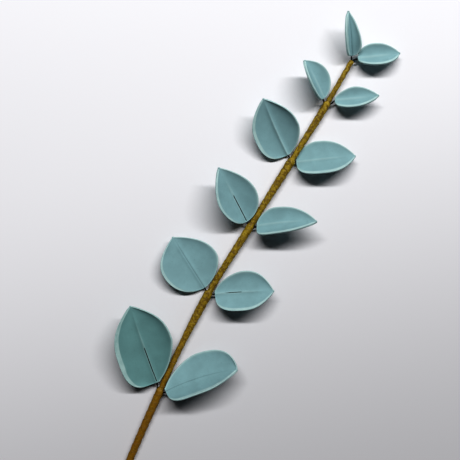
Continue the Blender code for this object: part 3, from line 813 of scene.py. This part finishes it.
def leaf_wire_route(name, leaf):
    """A leaf wire's route: beside the core in the tape, out at the collar, and along the leaf's midrib."""
    out = -1.0 if name.endswith("left") else 1.0
    top_pair = name.startswith("leaf_1")
    spacing = TOP_WIRE_SPACING if top_pair else WIRE_SPACING
    leaves_at = leaf["leaves_at"]
    route = []
    for below, extra in WIRE_APPROACH:
        route.append(stem_point(leaves_at - below) + (out * (spacing + extra), 0.0, 0.0))

    exit_spacing = spacing + (TOP_WIRE_EXIT_STEP if top_pair else WIRE_EXIT_STEP)
    start = stem_point(leaves_at) + (out * exit_spacing, 0.0, 0.0)
    place, ahead, _, up = midrib_frame(leaf, 0.0)
    foot = place + up * (RIDGE_HEIGHT - wire_depth(leaf, 0.0))
    gap = float(np.linalg.norm(foot - start))
    start_pull = np.array((out * WIRE_EXIT_HEADING[0], WIRE_EXIT_HEADING[1], 0.0)) * gap
    foot_pull = ahead * gap
    for u in np.arange(WIRE_BRIDGE_STEPS) / WIRE_BRIDGE_STEPS:
        shares = curve_shares(u)
        route.append(
            start * shares[0] + start_pull * shares[1] + foot * shares[2] + foot_pull * shares[3])

    for t in np.linspace(0.0, leaf["wire_reach"], WIRE_BLADE_STEPS):
        place, _, _, up = midrib_frame(leaf, t)
        route.append(place + up * (RIDGE_HEIGHT * (1 - t**RIDGE_FADE) - wire_depth(leaf, t)))
    return route


def midrib_form(name, leaf, across, t):
    """The fine form along the midrib: a raised crest or a crease, and the slit over a showing wire."""
    if name in CREASED:
        form = -CREASE_DEPTH * np.exp(-((across / CREASE_HALF_WIDTH) ** 2))
    else:
        form = CREST_HEIGHT * np.exp(-((across / CREST_HALF_WIDTH) ** 2))
    form = form * (1 - t**RIDGE_FADE)
    if leaf["showing"] is None:
        return form
    first, last = leaf["showing"]
    opens = (0.0, SLIT_FOOT_FADE) if first < SHOWING_FADE else (first, first + SHOWING_FADE / 2)
    shown = np.interp(t, (*opens, last, last + SHOWING_FADE / 2), (0.0, 1.0, 1.0, 0.0))
    depth = np.vectorize(wire_depth, excluded=[0])(leaf, t) - SHOWING_DEPTH + SLIT_OPENING
    slit = NEARLY_SHUT_HALF_WIDTH if name == NEARLY_SHUT else SLIT_HALF_WIDTH
    return form * (1 - shown) - depth * np.exp(-((across / slit) ** SLIT_SQUARENESS)) * shown


def bevel_form(name, leaf, from_rim, side, t):
    """How much of the bevel's paler band, a painted highlight, is formed, and how far the bevel is turned
    down, along the leaf's outer rim.
    """
    width = BEVELS[name] * np.sqrt(np.clip(4 * t * (1 - t), 0.0, 1.0)) + BEVEL_FADE
    outer = side * leaf["heading"] > 0
    highlight_band = np.clip((width - from_rim) / BEVEL_FADE, 0.0, 1.0) * outer
    turned = np.clip((width - from_rim) / width, 0.0, 1.0) * outer * BEVEL_DEPTH
    return highlight_band, turned


def blade_rings(leaf_name, leaf, rounding, rim_reach):
    """Closed rings across the leaf, rounded at the rims, and how far the rims' dust and painted highlight,
    and the midrib's painted highlight on a crest and painted shade in a crease, are formed on them.
    """
    t = crowded(np.linspace(0.0, 1.0, FINE_ROWS))
    part = np.arange(FINE_COLUMNS + 1) / FINE_COLUMNS
    one_side = part - COLUMN_CROWDING * np.sin(2 * np.pi * part) / (2 * np.pi)
    s = np.concatenate((-one_side[:0:-1], one_side))[None, :]
    side, across, lift, slope, thickness = section_of(leaf, t, s, rounding)
    thinned = np.clip((1 - np.abs(s)) / RIM_SHARE, 0.0, 1.0)
    thickness = RIM_THICKNESS + (thickness - RIM_THICKNESS) * thinned * (2 - thinned)
    from_rim = (1 - np.abs(s)) * half_width(leaf, t, side)
    highlight_band, turned = bevel_form(leaf_name, leaf, from_rim, side, t)
    top = lift + midrib_form(leaf_name, leaf, across, t) - turned
    upper = np.stack((side * across, top), axis=-1)
    under = lift - thickness * np.cos(slope)
    lower = np.stack((side * (across + thickness * np.sin(slope)), under), axis=-1)
    # Rim value: a thin paler edge, partly dusting and partly painted highlight, joined with the bevel's
    # painted highlight band.
    rim = np.maximum(np.exp(-from_rim / rim_reach), highlight_band)
    # Painted highlight along a raised midrib's crest; painted shade, as negative values, along a crease.
    midrib_highlight_and_shade = ridge(across, t)
    if leaf_name in CREASED:
        midrib_highlight_and_shade = -np.exp(-((across / CREASE_HALF_WIDTH) ** 2)) * (1 - t**RIDGE_FADE)

    rings, rims, ridges = [], [], []
    angles = np.pi * np.arange(1, RIM_ARC_STEPS) / RIM_ARC_STEPS
    for row in range(FINE_ROWS):
        arcs = []
        for end, outward in ((-1, 1.0), (0, -1.0)):
            middle = (upper[row, end] + lower[row, end]) / 2
            half = (upper[row, end] - lower[row, end]) / 2
            bulge = np.array((half[1], -half[0])) * outward
            turns = angles if end == -1 else angles[::-1]
            arcs.append([middle + half * math.cos(a) + bulge * math.sin(a) for a in turns])
        rings.append(np.concatenate((upper[row], arcs[0], lower[row, ::-1], arcs[1])))
        edge = np.ones(len(angles))
        rims.append(np.concatenate((rim[row], edge, rim[row, ::-1], edge)))
        ridges.append(np.concatenate((midrib_highlight_and_shade[row], edge * 0, midrib_highlight_and_shade[row] * 0, edge * 0)))
    rings = np.array(rings)
    place, ahead, right, up = midrib_frame(leaf, t[:, 0])
    points = place[:, None] + right[:, None] * rings[..., :1] + up[:, None] * rings[..., 1:]
    return points, rims, ridges, ahead


def end_cap(loop, ahead, rounding):
    """The rings that draw the blade in over its end, from the blade outwards."""
    middle = loop.mean(axis=0)
    turns = [math.pi / 2 * step / END_CAP_STEPS for step in range(1, END_CAP_STEPS)]
    return [
        middle + (loop - middle) * math.cos(turn) + ahead * rounding * math.sin(turn) for turn in turns]


def fine_blade(leaf_name, leaf, leaves):
    """A leaf's blade: closed rings across the leaf, rounded at the rims and drawn in over both ends."""
    rounding = leaves.rounding / MM
    points, rims, ridges, ahead = blade_rings(leaf_name, leaf, rounding, leaves.rim_reach / MM)
    foot = end_cap(points[0], -ahead[0], rounding)[::-1]
    tip = end_cap(points[-1], ahead[-1], rounding)
    loops = foot + list(points) + tip
    rim_values = rims[:1] * len(foot) + rims + rims[-1:] * len(tip)
    ridge_values = ridges[:1] * len(foot) + ridges + ridges[-1:] * len(tip)

    form = bmesh.new()
    rim_layer = form.verts.layers.float.new("rim")
    ridge_layer = form.verts.layers.float.new("ridge")
    rows = []
    for loop, rim_row, ridge_row in zip(loops, rim_values, ridge_values):
        row = []
        for point, rim_value, ridge_value in zip(placed(loop), rim_row, ridge_row):
            vertex = form.verts.new(point)
            vertex[rim_layer] = float(rim_value)
            vertex[ridge_layer] = float(ridge_value)
            row.append(vertex)
        rows.append(row)
    for row, next_row in zip(rows, rows[1:]):
        for i in range(len(row)):
            form.faces.new((row[i - 1], row[i], next_row[i], next_row[i - 1]))
    for row, loop in ((rows[0], loops[0]), (rows[-1], loops[-1])):
        point = form.verts.new(placed(loop.mean(axis=0)))
        point[rim_layer] = 1.0
        for i in range(len(row)):
            form.faces.new((row[i - 1], row[i], point))
    bmesh.ops.recalc_face_normals(form, faces=form.faces)
    for face in form.faces:
        face.smooth = True
    mesh = bpy.data.meshes.new(leaf_name + "_blade")
    form.to_mesh(mesh)
    form.free()
    return shown_piece(mesh.name, mesh)


class SPRIG_OT_leaves(bpy.types.Operator):
    """Make the paste leaves, each in the place of its plain solid"""

    bl_idname = "sprig.leaves"
    bl_label = "Leaves"

    def execute(self, context):
        leaves = context.scene.sprig_leaves
        paste = paste_finish("Leaf paste", leaves.paste_colour, leaves)
        # The lowest left leaf gets a darker copy of the paste as painted shade.
        lowest = paste_finish("Lowest leaf paste with painted shade", leaves.lowest_leaf_shade_colour, leaves)
        for name, leaf in LEAVES.items():
            blade = fine_blade(name, leaf, leaves)
            darker = name == LOWEST_LEAF
            blade.data.materials.append(lowest if darker else paste)
            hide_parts(name)
        return {"FINISHED"}


class SPRIG_OT_wires(bpy.types.Operator):
    """Make the covered wire of each leaf and the bare wire in the stem"""

    bl_idname = "sprig.wires"
    bl_label = "Wires"

    def execute(self, context):
        stem = context.scene.sprig_stem
        tree = wire_tree()
        covered = {"Sides": WIRE_SIDES, "Material": covered_wire_finish(stem)}
        thinning = np.interp(
            np.arange(WIRE_BLADE_STEPS), (0, WIRE_FOOT_STEPS), (COVERED_WIRE_RADIUS, PRESSED_WIRE_RADIUS))
        radii = [COVERED_WIRE_RADIUS] * (len(WIRE_APPROACH) + WIRE_BRIDGE_STEPS) + list(thinning)
        for name, leaf in LEAVES.items():
            route = leaf_wire_route(name, leaf)
            wire = along_route(name + "_covered_wire", route, radii, tree, covered)
            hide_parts(name + "_wire")

        rings = np.arange(CUT_END_Y, CORE_TOP_Y + CORE_RING_STEP, CORE_RING_STEP)
        route = [stem_point(y) for y in rings]
        drawn = {"Sides": WIRE_SIDES, "Material": core_wire_finish(stem)}
        core = along_route("core_wire", route, [CORE_RADIUS] * len(route), tree, drawn)
        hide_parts("stem_wire")
        return {"FINISHED"}


class SPRIG_OT_tape(bpy.types.Operator):
    """Wind the floral tape round the wires"""

    bl_idname = "sprig.tape"
    bl_label = "Tape"

    def execute(self, context):
        stem = context.scene.sprig_stem
        rings = np.arange(CUT_END_Y + TAPE_END_SETBACK, TOP_END_Y + TAPE_RING_STEP / 2, TAPE_RING_STEP)
        radii = []
        for y in rings:
            end = min(y - rings[0], rings[-1] - y)
            inset = 1 - min(end / TAPE_END_ROUNDING, 1.0)
            radii.append(tape_radius(y) - TAPE_END_ROUNDING * (1 - math.sqrt(1 - inset**2)))
        inputs = {
            "Wrap pitch": stem.wrap_pitch, "Wrap step": stem.wrap_step, "Sides": stem.tape_sides,
            "Material": tape_finish(stem),
        }
        route = [stem_point(y) for y in rings]
        tape = along_route("wound_tape", route, radii, wound_tape_tree(), inputs)
        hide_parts("stem_tape")
        return {"FINISHED"}


# Stage: the picture's middle in the working frame, its turn on the table, and where the light stands.
PICTURE_MIDDLE = (-9.3, 100.2)
PICTURE_TURN = 29.2
LEAF_LEVEL = 5.0
SENSOR_WIDTH = 36.0
FLOOR_SIZE = 12.0
# Painted shade: the table's colour deepens down the picture, standing in for the light's falloff. Share that
# it leans across, and distances from the middle.
FLOOR_SHADE_ACROSS = 0.35
FLOOR_SHADE_REACH = (-0.05, 0.14)
# Across the picture, up it, and height, in metres from the picture's middle.
LIGHT_PLACE = (0.25, 0.83, 1.35)
ROOM_COLOUR = (0.95, 0.97, 1.0)
CLIP_START = 0.01


class SPRIG_OT_stage(bpy.types.Operator):
    """Set the pale table, the soft light and the camera over it"""

    bl_idname = "sprig.stage"
    bl_label = "Stage"

    def execute(self, context):
        stage = context.scene.sprig_stage
        middle = Vector(placed((*PICTURE_MIDDLE, 0.0)))
        turn = Matrix.Rotation(math.radians(PICTURE_TURN), 3, "Z")

        form = bmesh.new()
        bmesh.ops.create_grid(form, x_segments=1, y_segments=1, size=FLOOR_SIZE / 2)
        mesh = bpy.data.meshes.new("table_top")
        form.to_mesh(mesh)
        form.free()
        floor = bpy.data.objects.new("table_top", mesh)
        context.scene.collection.objects.link(floor)
        finish, nodes, shader = new_finish("Pale table", Roughness=0.9, Specular_IOR_Level=0.1)
        # Painted shade: the table's colour darkens down the picture in place of the light's falloff.
        downhill = turn @ Vector((FLOOR_SHADE_ACROSS, -1.0, 0.0)).normalized()
        place = nodes.add("ShaderNodeVectorMath", {"operation": "SUBTRACT"}, {
            0: nodes.object_place(), 1: middle})
        down = nodes.value("ShaderNodeVectorMath", {"operation": "DOT_PRODUCT"}, {
            0: place.outputs[0], 1: downhill}, output="Value")
        colour = stage.floor_colour
        shaded = dimmed(colour, stage.floor_shade)
        body = nodes.mixed(down.eased(*FLOOR_SHADE_REACH), dimmed(colour), shaded)
        nodes.feed(shader.inputs["Base Color"], body)
        floor.data.materials.append(finish)

        light = bpy.data.lights.new("soft_light", "AREA")
        light.shape = "RECTANGLE"
        light.energy = stage.light_power
        light.size = stage.light_width
        light.size_y = stage.light_depth
        lamp = bpy.data.objects.new("soft_light", light)
        lamp.location = middle + turn @ Vector(LIGHT_PLACE)
        downwards = (middle - lamp.location).normalized()
        level = turn @ Vector((1.0, 0.0, 0.0))
        level = (level - downwards * level.dot(downwards)).normalized()
        facing = Matrix((level, downwards.cross(level), -downwards)).transposed()
        lamp.rotation_euler = facing.to_euler()
        context.scene.collection.objects.link(lamp)

        world = bpy.data.worlds.new("Soft room")
        world.use_nodes = True
        background = world.node_tree.nodes["Background"]
        background.inputs["Color"].default_value = dimmed(ROOM_COLOUR)
        background.inputs["Strength"].default_value = stage.fill
        context.scene.world = world
        context.scene.view_settings.view_transform = "Standard"
        context.scene.view_settings.look = "High Contrast"

        camera = bpy.data.cameras.new("camera_above")
        camera.sensor_width = SENSOR_WIDTH
        distance = stage.camera_height - LEAF_LEVEL * MM
        camera.lens = SENSOR_WIDTH * distance / stage.view_width
        camera.clip_start = CLIP_START
        viewer = bpy.data.objects.new("camera_above", camera)
        viewer.location = middle + Vector((0.0, 0.0, stage.camera_height))
        viewer.rotation_euler = (0.0, 0.0, math.radians(PICTURE_TURN))
        context.scene.collection.objects.link(viewer)
        context.scene.camera = viewer
        return {"FINISHED"}


class VIEW3D_PT_sprig(bpy.types.Panel):
    """The sprig's sizes, colours and making"""

    bl_idname = "VIEW3D_PT_sprig"
    bl_label = "Eucalyptus sprig"
    bl_space_type = "VIEW_3D"
    bl_region_type = "UI"
    bl_category = "Sprig"

    def draw(self, context):
        scene = context.scene
        for settings, operators in (
            (scene.sprig_leaves, ("sprig.leaves",)),
            (scene.sprig_stem, ("sprig.wires", "sprig.tape")),
            (scene.sprig_stage, ("sprig.stage",)),
        ):
            box = self.layout.box()
            for name in settings.bl_rna.properties.keys():
                if name not in ("rna_type", "name"):
                    box.prop(settings, name)
            for operator in operators:
                box.operator(operator)


CLASSES = (
    SprigLeafSettings, SprigStemSettings, SprigStageSettings, SPRIG_OT_leaves, SPRIG_OT_wires, SPRIG_OT_tape,
    SPRIG_OT_stage, VIEW3D_PT_sprig,
)


def register():
    for each in CLASSES:
        bpy.utils.register_class(each)
    bpy.types.Scene.sprig_leaves = bpy.props.PointerProperty(type=SprigLeafSettings)
    bpy.types.Scene.sprig_stem = bpy.props.PointerProperty(type=SprigStemSettings)
    bpy.types.Scene.sprig_stage = bpy.props.PointerProperty(type=SprigStageSettings)


def unregister():
    del bpy.types.Scene.sprig_stage
    del bpy.types.Scene.sprig_stem
    del bpy.types.Scene.sprig_leaves
    for each in reversed(CLASSES):
        bpy.utils.unregister_class(each)


def main():
    register()
    bpy.ops.sprig.leaves()
    bpy.ops.sprig.wires()
    bpy.ops.sprig.tape()
    bpy.ops.sprig.stage()


if __name__ == "__main__":
    main()
